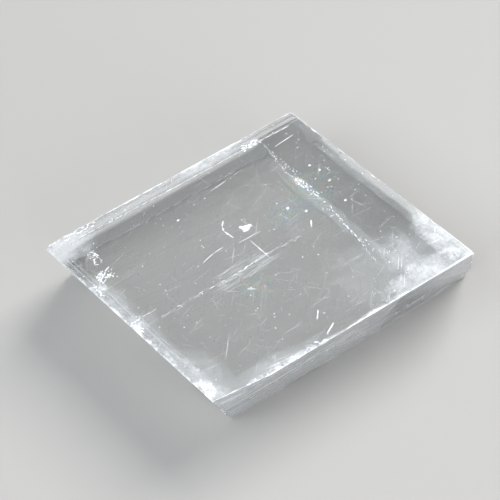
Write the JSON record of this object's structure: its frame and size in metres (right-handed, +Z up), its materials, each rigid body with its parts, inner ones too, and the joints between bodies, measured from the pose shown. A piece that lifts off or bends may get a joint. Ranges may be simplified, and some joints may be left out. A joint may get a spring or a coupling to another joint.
{
  "type": "iceland spar crystal",
  "caption": "Clear calcite cleavage block, a leaning box of flat glassy faces with stepped sides and chipped edges, that lies on its largest face.",
  "frame": {"origin": "under the middle of the block's box, on the surface that it lies on", "axes": "+Z up out of the large top face, +X along the long front edge, +Y towards the back of the block"},
  "size_m": [0.0622, 0.0462, 0.0183],
  "materials": {
    "calcite": "clear, glassy cleavage faces with fine scratches and white bruised edges"
  },
  "bodies": {
    "root": {"spar_rhomb": "calcite"}
  },
  "joints": []
}
